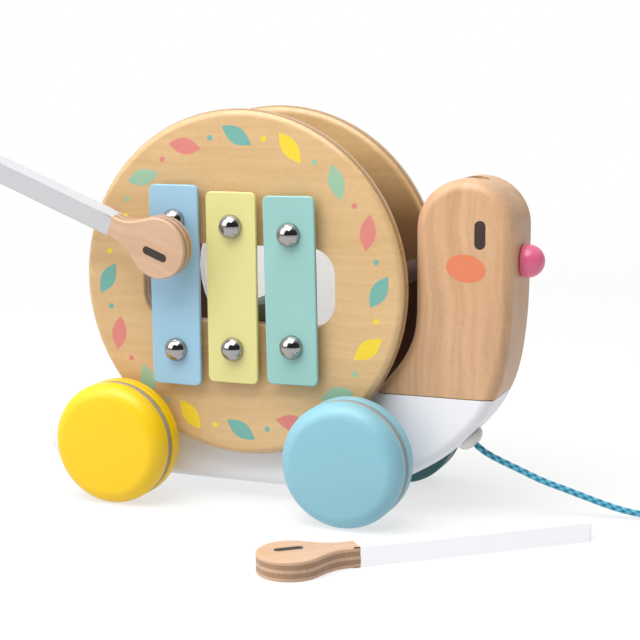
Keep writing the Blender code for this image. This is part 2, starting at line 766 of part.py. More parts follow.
def mallet_outline():
    """A round head on a straight stick, lying along +X from the head's middle."""
    half = MALLET_STICK_WIDTH / 2
    end = MALLET_LENGTH - MALLET_HEAD_RADIUS
    corner = MALLET_CORNER
    outline = arc((0.0, 0.0), MALLET_HEAD_RADIUS, 48, 312, 22)
    lower = [outline[-1], (0.0150, -0.0068), (0.0205, -0.0050), (0.0290, -half)]
    outline += flow(lower, 3)[1:]
    outline += [(0.0290, -half)]
    outline += arc((end - corner, -half + corner), corner, -90, 0, 3)
    outline += arc((end - corner, half - corner), corner, 0, 90, 3)
    upper = [(x, -y) for x, y in reversed(lower)]
    outline += flow(upper, 3)
    return outline


def mallets():
    """One lies on the floor. The other is held upright, its handle up towards the tail."""
    ply = finish("mallet plywood", PLY, 0.45)
    for name, at, roll, swing, upright in MALLETS:
        turn = Matrix.Rotation(math.radians(upright), 3, "X")
        turn = turn @ Matrix.Rotation(math.radians(swing), 3, "Z")
        turn = turn @ Matrix.Rotation(math.radians(roll), 3, "X")
        obj = board(name, mallet_outline(), MALLET_THICKNESS, ply)
        place(obj, at, turn.to_euler())
        round_edges(obj, MALLET_EDGE, 1)


clear_scene()
parts = new_collection(OBJECT_NAME)
cutters = new_collection("cutters")
toy = bpy.data.objects.new("toy_origin", None)
parts.objects.link(toy)
toy.location = (TOY_X, TOY_Y, 0.0)

foot_and_head()
nose()
shell()
drum_skin()
bell()
bars()
screws_and_pads()
running_gear()
gland()
cord_and_coil()
coil_tie()
pull_ball()
mallets()
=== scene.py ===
"""Looks of the pull along snail. Every piece that shows is made here as a fine mesh in the place that the
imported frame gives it, with a procedural material. Metres, +Z up, +X towards the snail's head."""

import json
import math

import bmesh
import bpy
from mathutils import Matrix, Vector


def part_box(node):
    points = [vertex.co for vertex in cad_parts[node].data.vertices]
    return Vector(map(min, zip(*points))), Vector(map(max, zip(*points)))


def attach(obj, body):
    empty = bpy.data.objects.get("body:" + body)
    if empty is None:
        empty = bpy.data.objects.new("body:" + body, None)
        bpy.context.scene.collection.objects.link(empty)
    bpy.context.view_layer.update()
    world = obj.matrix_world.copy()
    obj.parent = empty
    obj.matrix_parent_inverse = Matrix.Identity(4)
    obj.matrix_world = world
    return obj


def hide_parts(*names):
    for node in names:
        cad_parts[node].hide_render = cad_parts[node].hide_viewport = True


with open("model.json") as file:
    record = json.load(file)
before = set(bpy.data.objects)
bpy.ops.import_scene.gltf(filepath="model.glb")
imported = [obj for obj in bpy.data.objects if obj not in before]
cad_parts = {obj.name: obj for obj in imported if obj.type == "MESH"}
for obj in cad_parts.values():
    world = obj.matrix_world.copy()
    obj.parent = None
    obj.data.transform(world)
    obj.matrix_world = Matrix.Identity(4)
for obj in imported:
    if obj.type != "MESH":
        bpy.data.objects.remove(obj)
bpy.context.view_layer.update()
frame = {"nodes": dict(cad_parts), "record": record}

BODY_OF = {
    node: body for body, nodes in frame["record"]["behaviour"]["bodies"].items() for node in nodes
}


def middle(node):
    low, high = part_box(node)
    return (low + high) / 2


def extent(node):
    low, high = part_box(node)
    return high - low


# ---------------------------------------------------------------- measures from the frame

# The toy's own origin: under the shell's middle, on the floor
TOY = Vector((middle("shell_disc_near").x, middle("foot").y, 0.0))
BODY_THICKNESS = extent("foot").y
SEAM_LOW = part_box("foot")[1].z
SEAM_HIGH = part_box("head")[0].z
SHELL_RADIUS = extent("shell_disc_near").x / 2
SHELL_HEIGHT = middle("shell_disc_near").z
SHELL_THICKNESS = extent("shell_disc_near").y
BAR_THICKNESS = extent("bar_long").y
WHEEL_RADIUS = extent("wheel_front_near").x / 2
WHEEL_INNER = TOY.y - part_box("wheel_front_near")[1].y
WHEEL_OUTER = TOY.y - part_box("wheel_front_near")[0].y
TYRE_MIDDLE = TOY.y - middle("tyre_front_near").y
TYRE_SECTION = extent("tyre_front_near").y / 2
MALLET_THICKNESS = extent("mallet_floor").z

# ---------------------------------------------------------------- sizes of the visible forms

BODY_ROUNDING = 0.0052
FOOT_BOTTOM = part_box("foot")[0].z
TAIL_RADIUS = 0.0154
TAIL_X = -0.0938
HEAD_RADIUS = 0.02175
HEAD_X = 0.10165
HEAD_TOP = 0.1508
SOCKET_X = 0.1029
SOCKET_RADIUS = 0.0053
SOCKET_DEPTH = 0.034
SHELL_ROUNDING = 0.0036
WINDOW_SIZE = (0.0944, 0.0356)
WINDOW_CORNER = 0.012
WINDOW_AT = (-0.0009, 0.0003)
DRUM_HOLE_RADIUS = 0.0385
BAR_WIDTH = 0.0244
BAR_CORNER = 0.0028
BAR_TILT = {"bar_long": 0.0, "bar_middle": 0.0, "bar_short": 0.9}
SCREW_RADIUS = 0.0055
SCREW_DOME = 0.0048
NOSE_RADIUS = extent("nose").y / 2
NOSE_LIFT = 0.002
CORD_DIAMETER = 0.003
CORD_STEP = 0.00036
CORD_BORE = CORD_DIAMETER / 2 + 0.0003
CHIN = (0.1005, 0.0338)
BEAD_RADIUS = 0.0066
BEAD_HEIGHT = 0.0043
CHIN_DIRECTION = Vector((1.0, 0.0, -1.0)).normalized()
COIL_CENTRE = (0.2050, 0.0005)
COIL_RADIUS = 0.0165
COIL_LIFT = 0.00085
BALL_RADIUS = 0.009
MALLET_LENGTH = 0.1458
MALLET_HEAD_RADIUS = 0.0139
MALLET_STICK_WIDTH = 0.0096
MALLET_PAINT_FROM = {"mallet_floor": 0.0283, "mallet_striking": 0.0253}
PRINT_THICKNESS = 0.00004

STANDING = Matrix.Rotation(math.radians(90), 4, "X")


def toward(direction):
    """The turn that points local +Z along a direction."""
    return Vector(direction).to_track_quat("Z", "Y").to_matrix().to_4x4()


def at_toy(x, y, z, turn=None):
    """A place in the toy's own measures, with a turn."""
    place = Matrix.Translation(TOY + Vector((x, y, z)))
    return place @ turn if turn else place


# ---------------------------------------------------------------- camera, light and floor

AZIMUTH = math.radians(21.73)
ELEVATION = math.radians(9.76)
ROLL = math.radians(-0.38)
AIM = TOY + Vector((0.02933, -0.0025, 0.08367))
DISTANCE = 0.6966
LENS = 85.3


def direction(azimuth, elevation):
    """From the object towards a place round it. Azimuth 0 is in front, at -Y, and 90 is at +X."""
    flat = math.cos(elevation)
    return Vector((math.sin(azimuth) * flat, -math.cos(azimuth) * flat, math.sin(elevation)))


def add_camera():
    back = direction(AZIMUTH, ELEVATION)
    right = Vector((math.cos(AZIMUTH), math.sin(AZIMUTH), 0.0))
    up = back.cross(right)
    right, up = (
        right * math.cos(ROLL) + up * math.sin(ROLL),
        up * math.cos(ROLL) - right * math.sin(ROLL),
    )
    camera = bpy.data.objects.new("camera", bpy.data.cameras.new("camera"))
    camera.data.lens = LENS
    camera.data.clip_start = 0.05
    bpy.context.scene.collection.objects.link(camera)
    turn = Matrix((right, up, back)).transposed().to_4x4()
    camera.matrix_world = Matrix.Translation(AIM + back * DISTANCE) @ turn
    bpy.context.scene.camera = camera


def add_softbox(name, azimuth, elevation, distance, width, height, power):
    light = bpy.data.lights.new(name, "AREA")
    light.shape = "RECTANGLE"
    light.size = width
    light.size_y = height
    light.energy = power
    out = direction(math.radians(azimuth), math.radians(elevation))
    lamp = bpy.data.objects.new(name, light)
    bpy.context.scene.collection.objects.link(lamp)
    lamp.matrix_world = Matrix.Translation(AIM + out * distance) @ toward(out)


# The room is brightest towards this side, and these are its greys from dark to bright
WORLD_BRIGHT_SIDE = (-0.42, 0.48, 0.77)
WORLD_STOPS = ((0.0, 0.05), (0.12, 0.15), (0.45, 0.54), (0.85, 0.88))
# The floor is partly a light: this much near the toy, and wholly so beyond the fade
FLOOR_RADIUS = 12.0
FLOOR_FADE = (0.30, 1.1)
FLOOR_GLOW = 0.66
# As a light it is this bright, against 1 to the camera
FLOOR_BOUNCE = 0.72


def add_world():
    """White to the eye. For the light it is a room that is bright behind and overhead, dark in front."""
    world = bpy.data.worlds.new("studio")
    bpy.context.scene.world = world
    world.use_nodes = True
    tree = world.node_tree
    room = tree.nodes["Background"]
    white = tree.nodes.new("ShaderNodeBackground")
    white.inputs["Color"].default_value = (1.0, 1.0, 1.0, 1.0)
    where = tree.nodes.new("ShaderNodeTexCoord")
    facing = tree.nodes.new("ShaderNodeVectorMath")
    facing.operation = "DOT_PRODUCT"
    facing.inputs[1].default_value = WORLD_BRIGHT_SIDE
    ramp = tree.nodes.new("ShaderNodeValToRGB")
    path = tree.nodes.new("ShaderNodeLightPath")
    mix = tree.nodes.new("ShaderNodeMixShader")
    tree.links.new(where.outputs["Generated"], facing.inputs[0])
    tree.links.new(facing.outputs["Value"], ramp.inputs["Fac"])
    tree.links.new(ramp.outputs["Color"], room.inputs["Color"])
    tree.links.new(path.outputs["Is Camera Ray"], mix.inputs["Fac"])
    tree.links.new(room.outputs[0], mix.inputs[1])
    tree.links.new(white.outputs[0], mix.inputs[2])
    tree.links.new(mix.outputs[0], tree.nodes["World Output"].inputs["Surface"])
    set_stops(ramp, WORLD_STOPS)


def set_stops(ramp, stops):
    """Gives a colour ramp its stops, each a place from 0 to 1 and a grey or a colour."""
    elements = ramp.color_ramp.elements
    while len(elements) < len(stops):
        elements.new(1.0)
    for element, (place, colour) in zip(elements, stops):
        element.position = place
        element.color = (*([colour] * 3 if isinstance(colour, float) else colour), 1.0)


def add_floor():
    """A pale floor that fades to plain white well away from the toy, so that no horizon shows."""
    shape = bmesh.new()
    bmesh.ops.create_circle(shape, cap_ends=True, radius=FLOOR_RADIUS, segments=96)
    look = Look("floor", roughness=0.55)
    look.shader.inputs["Base Color"].default_value = (0.90, 0.90, 0.90, 1.0)
    far = look.add("ShaderNodeVectorMath", {0: look.where}, operation="LENGTH").outputs["Value"]
    fade = look.add(
        "ShaderNodeMapRange",
        {"Value": far, "From Min": FLOOR_FADE[0], "From Max": FLOOR_FADE[1], "To Min": FLOOR_GLOW},
    )
    seen = look.add("ShaderNodeLightPath").outputs["Is Camera Ray"]
    strength = look.math("ADD", look.math("MULTIPLY", seen, 1.0 - FLOOR_BOUNCE), FLOOR_BOUNCE)
    glow = look.add("ShaderNodeEmission", {"Color": (1.0, 1.0, 1.0, 1.0), "Strength": strength})
    mix = look.add(
        "ShaderNodeMixShader",
        {0: fade.outputs[0], 1: look.shader.outputs[0], 2: glow.outputs[0]},
    )
    look.tree.links.new(mix.outputs[0], look.tree.nodes["Material Output"].inputs["Surface"])
    mesh = bpy.data.meshes.new("floor")
    shape.to_mesh(mesh)
    shape.free()
    mesh.materials.append(look.material)
    floor = bpy.data.objects.new("floor", mesh)
    bpy.context.scene.collection.objects.link(floor)


# ---------------------------------------------------------------- materials


class Look:
    """A procedural material under construction. Lengths are in metres, in the piece's own space."""

    def __init__(self, name, roughness=0.4, metallic=0.0, coat=0.0, coat_roughness=0.1, sheen=0.0):
        self.material = bpy.data.materials.new(name)
        self.material.use_nodes = True
        self.tree = self.material.node_tree
        self.shader = self.tree.nodes["Principled BSDF"]
        self.shader.inputs["Roughness"].default_value = roughness
        self.shader.inputs["Metallic"].default_value = metallic
        self.shader.inputs["Coat Weight"].default_value = coat
        self.shader.inputs["Coat Roughness"].default_value = coat_roughness
        self.shader.inputs["Sheen Weight"].default_value = sheen
        self.where = self.add("ShaderNodeTexCoord").outputs["Object"]

    def add(self, kind, inputs=None, **settings):
        node = self.tree.nodes.new(kind)
        for key, value in settings.items():
            setattr(node, key, value)
        for key, value in (inputs or {}).items():
            if isinstance(value, bpy.types.NodeSocket):
                self.tree.links.new(value, node.inputs[key])
            else:
                node.inputs[key].default_value = value
        return node

    def noise(self, scale, detail=3.0, where=None):
        """A grey noise with so many blotches a metre along X, Y and Z."""
        spread = self.add(
            "ShaderNodeVectorMath", {0: where or self.where, 1: scale}, operation="MULTIPLY"
        )
        inputs = {"Vector": spread.outputs[0], "Scale": 1.0, "Detail": detail}
        return self.add("ShaderNodeTexNoise", inputs).outputs["Fac"]

    def ramp(self, value, *stops):
        node = self.add("ShaderNodeValToRGB", {"Fac": value})
        set_stops(node, stops)
        return node.outputs["Color"]

    def math(self, operation, first, second=0.0):
        return self.add("ShaderNodeMath", {0: first, 1: second}, operation=operation).outputs[0]

    def axis(self, letter):
        return self.add("ShaderNodeSeparateXYZ", {0: self.where}).outputs[letter]

    def mix(self, factor, first, second, blend="MIX"):
        colours = [(*c, 1.0) if isinstance(c, tuple) else c for c in (first, second)]
        inputs = {0: factor, 6: colours[0], 7: colours[1]}
        return self.add("ShaderNodeMix", inputs, data_type="RGBA", blend_type=blend).outputs[2]

    def colour(self, value):
        self.tree.links.new(value, self.shader.inputs["Base Color"])

    def roughness(self, value, low, high):
        spread = self.add("ShaderNodeMapRange", {"Value": value, "To Min": low, "To Max": high})
        self.tree.links.new(spread.outputs[0], self.shader.inputs["Roughness"])

    def bump(self, height, depth, below=None):
        """Raises the surface by a height from 0 to 1 times a depth."""
        inputs = {"Height": height, "Distance": depth}
        if below:
            inputs["Normal"] = below
        normal = self.add("ShaderNodeBump", inputs).outputs[0]
        self.tree.links.new(normal, self.shader.inputs["Normal"])
        return normal


def shade(colour, amount):
    return tuple(channel * amount for channel in colour)


def grain(look, tone, along, contrast=1.0):
    """Fine wood: slow clouds, long streaks and short dark flecks that run along X or Y."""
    long_way = {"X": (14.0, 330.0, 90.0), "Y": (330.0, 14.0, 90.0)}[along]
    fleck_way = {"X": (330.0, 3000.0, 1500.0), "Y": (3000.0, 330.0, 1500.0)}[along]
    warp = look.add("ShaderNodeTexNoise", {"Vector": look.where, "Scale": 22.0, "Detail": 2.0})
    bent = look.add(
        "ShaderNodeVectorMath",
        {0: warp.outputs["Color"], 1: (0.012, 0.012, 0.0), 2: look.where},
        operation="MULTIPLY_ADD",
    ).outputs[0]
    streaks = look.noise(long_way, 5.0, bent)
    clouds = look.noise((38.0, 38.0, 38.0), 3.0)
    flecks = look.noise(fleck_way, 2.0, bent)
    mottle = look.noise((420.0, 420.0, 420.0), 3.0)
    light = shade(tone, 1.0 + 0.10 * contrast)
    dark = shade((tone[0], tone[1] * 0.95, tone[2] * 0.88), 1.0 - 0.13 * contrast)
    colour = look.mix(look.ramp(streaks, (0.30, 0.0), (0.70, 1.0)), dark, light)
    cloudy = look.ramp(clouds, (0.30, shade((0.97, 0.94, 0.90), 0.96)), (0.72, (1.0, 1.0, 1.0)))
    colour = look.mix(0.85, colour, cloudy, "MULTIPLY")
    mottled = look.ramp(mottle, (0.35, 0.955), (0.60, 1.0))
    colour = look.mix(0.7, colour, mottled, "MULTIPLY")
    fleck = look.ramp(flecks, (0.60, 0.0), (0.72, 1.0))
    fleck_amount = look.math("MULTIPLY", fleck, 0.30 * contrast)
    colour = look.mix(fleck_amount, colour, shade((tone[0], tone[1] * 0.8, tone[2] * 0.6), 0.5))
    return colour, streaks, flecks


def plywood(name, thickness, tone, plies, coat=0.5, coat_roughness=0.16, inner_side=0):
    """A varnished board: a fine veneer on both faces, and the plies round its edge, along local Z.
    The face on its inner side, at +1 or -1, gets painted shade, dark towards the middle and the bottom."""
    look = Look(name, roughness=0.42, coat=coat, coat_roughness=coat_roughness)
    face, streaks, flecks = grain(look, tone, "X", 0.45)
    depth = look.math("DIVIDE", look.axis("Z"), thickness)
    wave = look.noise((60.0, 60.0, 60.0), 2.0)
    depth = look.math("ADD", depth, look.math("MULTIPLY", wave, 0.03))
    depth = look.math("ADD", depth, 0.485)
    light_ply = shade(tone, 0.95)
    dark_ply = shade((tone[0], tone[1] * 0.86, tone[2] * 0.72), 0.64)
    glue_line = shade((tone[0], tone[1] * 0.75, tone[2] * 0.6), 0.40)
    stops = []
    for i in range(plies):
        low, high = i / plies, (i + 1) / plies
        ply = light_ply if i % 2 == 0 else dark_ply
        stops += [(low + 0.018, ply), (high - 0.018, ply)]
        if i < plies - 1:
            stops.append((high, glue_line))
    layers = look.ramp(depth, *stops)
    fibres = look.noise((900.0, 900.0, 260.0), 3.0)
    layers = look.mix(0.8, layers, look.ramp(fibres, (0.3, 0.80), (0.65, 1.0)), "MULTIPLY")
    veneer = 0.6 / plies
    middle_distance = look.math("ABSOLUTE", look.math("SUBTRACT", depth, 0.5))
    on_face = look.ramp(middle_distance, (0.5 - veneer - 0.01, 0.0), (0.5 - veneer, 1.0))
    colour = look.mix(on_face, layers, face)
    # Painted shade on the inner face, dark towards the bottom
    if inner_side:
        colour = painted_inner_shade(look, colour, thickness, inner_side)
    look.colour(colour)
    look.roughness(streaks, 0.36, 0.52)
    below = look.bump(flecks, 0.00005)
    look.bump(look.noise((700.0, 700.0, 700.0), 2.0), 0.00004, below)
    return look


def painted_inner_shade(look, colour, thickness, inner_side):
    """Paints shade on the flat inner face, most at its bottom and least at its top edge."""
    inward = look.math("MULTIPLY", look.axis("Z"), inner_side / thickness)
    on_inner = look.ramp(inward, (0.36, 0.0), (0.48, 1.0))
    height = look.math("ADD", look.math("MULTIPLY", look.axis("Y"), 6.0), 0.5)
    # Painted shade: near black at the bottom, brown higher up, none at the top
    deep, brown, clear = (0.10, 0.065, 0.055), (0.30, 0.24, 0.20), (1.0, 1.0, 1.0)
    painted_shade_ramp = look.ramp(height, (0.42, deep), (0.66, brown), (0.86, clear))
    return look.mix(on_inner, colour, look.mix(1.0, colour, painted_shade_ramp, "MULTIPLY"))


def beech(name, tone, along="Y", roughness=0.42, coat=0.25, contrast=1.0):
    look = Look(name, roughness=roughness, coat=coat, coat_roughness=0.28)
    colour, streaks, flecks = grain(look, tone, along, contrast)
    look.colour(colour)
    look.roughness(streaks, roughness - 0.05, roughness + 0.12)
    below = look.bump(streaks, 0.00005)
    look.bump(flecks, 0.00005, below)
    return look.material


def lacquer(name, tone, roughness=0.3, coat=0.5, peel=0.00005, wear=0.06):
    """Sprayed paint over wood: orange peel, faint grain below it and slow changes of tone."""
    look = Look(name, roughness=roughness, coat=coat, coat_roughness=0.12)
    clouds = look.noise((45.0, 45.0, 45.0), 3.0)
    dust = look.noise((1600.0, 1600.0, 1600.0), 2.0)
    colour = look.mix(clouds, shade(tone, 1.0 - wear), shade(tone, 1.0 + wear / 2))
    colour = look.mix(look.ramp(dust, (0.68, 0.0), (0.80, 0.35)), colour, shade(tone, 0.85))
    look.colour(colour)
    look.roughness(clouds, roughness - 0.04, roughness + 0.08)
    below = look.bump(look.noise((820.0, 820.0, 820.0), 1.0), peel)
    look.bump(look.noise((60.0, 260.0, 260.0), 3.0), peel * 0.6, below)
    return look.material


def enamel(name, tone):
    """Satin baked enamel on a metal bar, with a faint texture and slightly thinner colour in places."""
    look = Look(name, roughness=0.33, coat=0.25, coat_roughness=0.2)
    clouds = look.noise((55.0, 30.0, 55.0), 2.0)
    specks = look.noise((2400.0, 2400.0, 2400.0), 2.0)
    colour = look.mix(clouds, shade(tone, 0.965), shade(tone, 1.02))
    colour = look.mix(look.ramp(specks, (0.70, 0.0), (0.82, 0.25)), colour, shade(tone, 1.2))
    look.colour(colour)
    look.roughness(clouds, 0.28, 0.38)
    look.bump(look.noise((1100.0, 1100.0, 1100.0), 2.0), 0.00002)
    return look.material


def metal(name, tone, roughness, brushed=0.0):
    look = Look(name, roughness=roughness, metallic=1.0)
    wear = look.noise((500.0, 500.0, 500.0), 4.0)
    look.colour(look.mix(wear, shade(tone, 0.93), shade(tone, 1.03)))
    look.roughness(wear, roughness * 0.7, roughness * 1.4)
    if brushed:
        look.bump(look.noise((200.0, 200.0, 6000.0), 3.0), brushed)
    return look.material


def soft_matter(name, tone, fine, depth, roughness=0.9, sheen=0.3):
    """Felt, rubber or plastic: an even tone broken by a fine structure of so many grains a metre."""
    look = Look(name, roughness=roughness, sheen=sheen)
    structure = look.noise((fine, fine, fine), 4.0)
    look.colour(look.mix(structure, shade(tone, 0.78), shade(tone, 1.18)))
    look.bump(structure, depth)
    return look.material


def print_ink(name, tone, through=0.15):
    """Printed colour on varnish: nearly even, with the wood's fine streaks just showing through."""
    look = Look(name, roughness=0.45, coat=0.15, coat_roughness=0.25)
    streaks = look.noise((60.0, 900.0, 10.0), 4.0)
    clouds = look.noise((120.0, 120.0, 120.0), 2.0)
    colour = look.mix(streaks, shade(tone, 0.93), shade(tone, 1.04))
    colour = look.mix(look.math("MULTIPLY", clouds, through), colour, (0.74, 0.55, 0.33))
    look.colour(colour)
    look.bump(streaks, 0.00002)
    return look.material


# ---------------------------------------------------------------- mesh helpers


def arc(centre, radius, start, end, steps):
    """Points along an arc, in degrees, with both ends."""
    found = []
    for i in range(steps + 1):
        angle = math.radians(start + (end - start) * i / steps)
        found.append((centre[0] + radius * math.cos(angle), centre[1] + radius * math.sin(angle)))
    return found


def flow(points, steps):
    """A smooth curve through the points, without its last point."""
    path = [Vector(p) for p in points]
    path = [2 * path[0] - path[1], *path, 2 * path[-1] - path[-2]]
    found = []
    for a, b, c, d in zip(path, path[1:], path[2:], path[3:]):
        for i in range(steps):
            t = i / steps
            found.append(
                0.5 * (2 * b + (c - a) * t + (2 * a - 5 * b + 4 * c - d) * t**2)
                + 0.5 * (3 * b - a - 3 * c + d) * t**3
            )
    return found


def rounded_rectangle(width, height, corner, centre=(0.0, 0.0), steps=10):
    x, y = width / 2 - corner, height / 2 - corner
    outline = []
    for spot, start in (((x, y), 0), ((-x, y), 90), ((-x, -y), 180), ((x, -y), 270)):
        spot = (spot[0] + centre[0], spot[1] + centre[1])
        outline += arc(spot, corner, start, start + 90, steps)
    return outline


def board(outlines, thickness, low=None):
    """A flat board in local XY from its outline and holes, centred unless low gives its lower face."""
    curve = bpy.data.curves.new("outline", "CURVE")
    curve.dimensions = "2D"
    curve.fill_mode = "BOTH"
    curve.extrude = thickness / 2
    for outline in outlines:
        spline = curve.splines.new("POLY")
        spline.points.add(len(outline) - 1)
        for point, spot in zip(spline.points, outline):
            point.co = (spot[0], spot[1], 0.0, 1.0)
        spline.use_cyclic_u = True
    flat = bpy.data.objects.new("outline", curve)
    bpy.context.scene.collection.objects.link(flat)
    graph = bpy.context.evaluated_depsgraph_get()
    mesh = bpy.data.meshes.new_from_object(flat.evaluated_get(graph))
    bpy.data.objects.remove(flat)
    bpy.data.curves.remove(curve)
    shape = bmesh.new()
    shape.from_mesh(mesh)
    bpy.data.meshes.remove(mesh)
    bmesh.ops.remove_doubles(shape, verts=shape.verts, dist=0.000002)
    bmesh.ops.dissolve_limit(
        shape, angle_limit=0.001, verts=shape.verts, edges=shape.edges, delimit={"NORMAL"}
    )
    bmesh.ops.recalc_face_normals(shape, faces=shape.faces)
    if low is not None:
        bmesh.ops.translate(shape, verts=shape.verts, vec=(0.0, 0.0, low + thickness / 2))
    return shape


def round_edges(shape, width, segments, chosen=lambda spot: True):
    """Rounds the sharp edges whose ends a test picks."""
    edges = [
        edge
        for edge in shape.edges
        if len(edge.link_faces) == 2
        and edge.calc_face_angle() > math.radians(50)
        and all(chosen(vert.co) for vert in edge.verts)
    ]
    bmesh.ops.bevel(
        shape, geom=edges, offset=width, segments=segments, profile=0.5, affect="EDGES"
    )


def turned(profile, steps=96, closed=False):
    """A turned solid about local Z from its (radius, height) profile."""
    shape = bmesh.new()
    turns = [2 * math.pi * i / steps for i in range(steps)]
    rings = []
    for radius, height in profile:
        if radius < 1e-7:
            rings.append([shape.verts.new((0.0, 0.0, height))])
        else:
            rings.append(
                [shape.verts.new((radius * math.cos(t), radius * math.sin(t), height)) for t in turns]
            )
    pairs = list(zip(rings, rings[1:]))
    if closed:
        pairs.append((rings[-1], rings[0]))
    for upper, lower in pairs:
        for i in range(steps):
            corners = [upper[i % len(upper)], lower[i % len(lower)]]
            corners += [lower[(i + 1) % steps % len(lower)], upper[(i + 1) % steps % len(upper)]]
            shape.faces.new(list(dict.fromkeys(corners)))
    bmesh.ops.recalc_face_normals(shape, faces=shape.faces)
    return shape


def piece(name, shape, material, place, stands_for=(), body=None, weigh=True):
    """Makes a finished piece from a bmesh, and lets it ride on the body of the node it stands for."""
    mesh = bpy.data.meshes.new(name)
    shape.to_mesh(mesh)
    shape.free()
    mesh.materials.append(material)
    mesh.shade_smooth()
    mesh.set_sharp_from_angle(angle=math.radians(38))
    obj = bpy.data.objects.new(name, mesh)
    bpy.context.scene.collection.objects.link(obj)
    obj.matrix_world = place
    if weigh:
        weighted = obj.modifiers.new("flat faces stay flat", "WEIGHTED_NORMAL")
        weighted.keep_sharp = True
    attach(obj, body or BODY_OF[stands_for[0]])
    if stands_for:
        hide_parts(*stands_for)
    return obj


# ---------------------------------------------------------------- body board

WHITE = (0.90, 0.895, 0.93)
BEECH = (0.70, 0.43, 0.245)


def body_outline():
    """Tail, flat bottom, chin, head and neck, running anticlockwise as seen from -Y."""
    tail_height = FOOT_BOTTOM + TAIL_RADIUS
    head_side = HEAD_X - HEAD_RADIUS
    outline = arc((TAIL_X, tail_height), TAIL_RADIUS, 90, 262, 36)
    outline += [(TAIL_X, FOOT_BOTTOM)]
    chin = [
        (0.0440, FOOT_BOTTOM),
        (0.0598, 0.0096),
        (0.0765, 0.0172),
        (0.0946, 0.0288),
        (0.1086, 0.0433),
        (0.1160, 0.0560),
        (0.1199, 0.0685),
        (0.1221, 0.0840),
        (0.1231, 0.1010),
        (HEAD_X + HEAD_RADIUS, HEAD_TOP - HEAD_RADIUS),
    ]
    outline += flow(chin, 8)
    outline += arc((HEAD_X, HEAD_TOP - HEAD_RADIUS), HEAD_RADIUS, 0, 180, 56)
    neck = [
        (head_side, 0.0920),
        (0.0786, 0.0819),
        (0.0745, 0.0722),
        (0.0680, 0.0634),
        (0.0605, 0.0556),
        (0.0500, 0.0490),
        (0.0360, 0.0440),
        (0.0180, 0.0413),
        (-0.0050, 0.0400),
        (TAIL_X, FOOT_BOTTOM + 2 * TAIL_RADIUS),
    ]
    return outline + flow(neck, 6)


def half_board(seam, keep_above):
    """The rounded body board on one side of the seam, with the cut's own edges just eased."""
    shape = board([body_outline()], BODY_THICKNESS)
    round_edges(shape, BODY_ROUNDING, 8)
    bmesh.ops.bisect_plane(
        shape,
        geom=[*shape.verts, *shape.edges, *shape.faces],
        plane_co=(0.0, seam, 0.0),
        plane_no=(0.0, 1.0, 0.0),
        clear_outer=not keep_above,
        clear_inner=keep_above,
    )
    rim = [edge for edge in shape.edges if edge.is_boundary]
    bmesh.ops.edgeloop_fill(shape, edges=rim)
    bmesh.ops.recalc_face_normals(shape, faces=shape.faces)
    round_edges(shape, 0.0003, 2, lambda spot: abs(spot.y - seam) < 1e-6)
    return shape


def bored(shape, radius, low, high, place):
    """Drills a round hole into a bmesh that stands at a place."""
    mesh = bpy.data.meshes.new("bored")
    shape.to_mesh(mesh)
    shape.free()
    obj = bpy.data.objects.new("bored", mesh)
    drill_mesh = bpy.data.meshes.new("drill")
    drill = turned([(0.0, high), (radius, high), (radius, low), (0.0, low)], 64)
    bmesh.ops.transform(drill, matrix=place, verts=drill.verts)
    drill.to_mesh(drill_mesh)
    drill.free()
    tool = bpy.data.objects.new("drill", drill_mesh)
    for thing in (obj, tool):
        bpy.context.scene.collection.objects.link(thing)
    boolean = obj.modifiers.new("bore", "BOOLEAN")
    boolean.object = tool
    graph = bpy.context.evaluated_depsgraph_get()
    cut = bpy.data.meshes.new_from_object(obj.evaluated_get(graph))
    result = bmesh.new()
    result.from_mesh(cut)
    for thing in (obj, tool):
        bpy.data.objects.remove(thing)
    return result


def body():
    place = at_toy(0.0, 0.0, 0.0, STANDING)
    piece(
        "foot_board",
        half_board(SEAM_LOW, False),
        lacquer("white lacquer", WHITE, 0.34, 0.35, 0.00003, 0.02),
        place,
        ("foot",),
    )
    head = bored(
        half_board(SEAM_HIGH, True),
        SOCKET_RADIUS,
        -SOCKET_DEPTH,
        0.01,
        Matrix.Translation((SOCKET_X, HEAD_TOP, 0.0)) @ toward((0, 1, 0)),
    )
    piece("head_board", head, beech("head beech", BEECH, "Y"), place, ("head",))


def nose():
    centre = middle("nose")
    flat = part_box("nose")[1].x - NOSE_RADIUS - NOSE_LIFT
    lowest = -math.degrees(math.asin(NOSE_LIFT / NOSE_RADIUS))
    profile = [(0.0, NOSE_RADIUS + NOSE_LIFT)]
    profile += arc((0.0, NOSE_LIFT), NOSE_RADIUS, 88, lowest, 28)
    profile += [(0.0, 0.0)]
    red = lacquer("raspberry lacquer", (0.88, 0.160, 0.310), 0.32, 0.4, 0.00001, 0.03)
    place = Matrix.Translation((flat, centre.y, centre.z)) @ toward((1, 0, 0))
    piece("nose_bead", turned(profile, 72), red, place, ("nose",))


# ---------------------------------------------------------------- shell

PLY = (0.735, 0.495, 0.245)
FILM_GLOW = 0.26


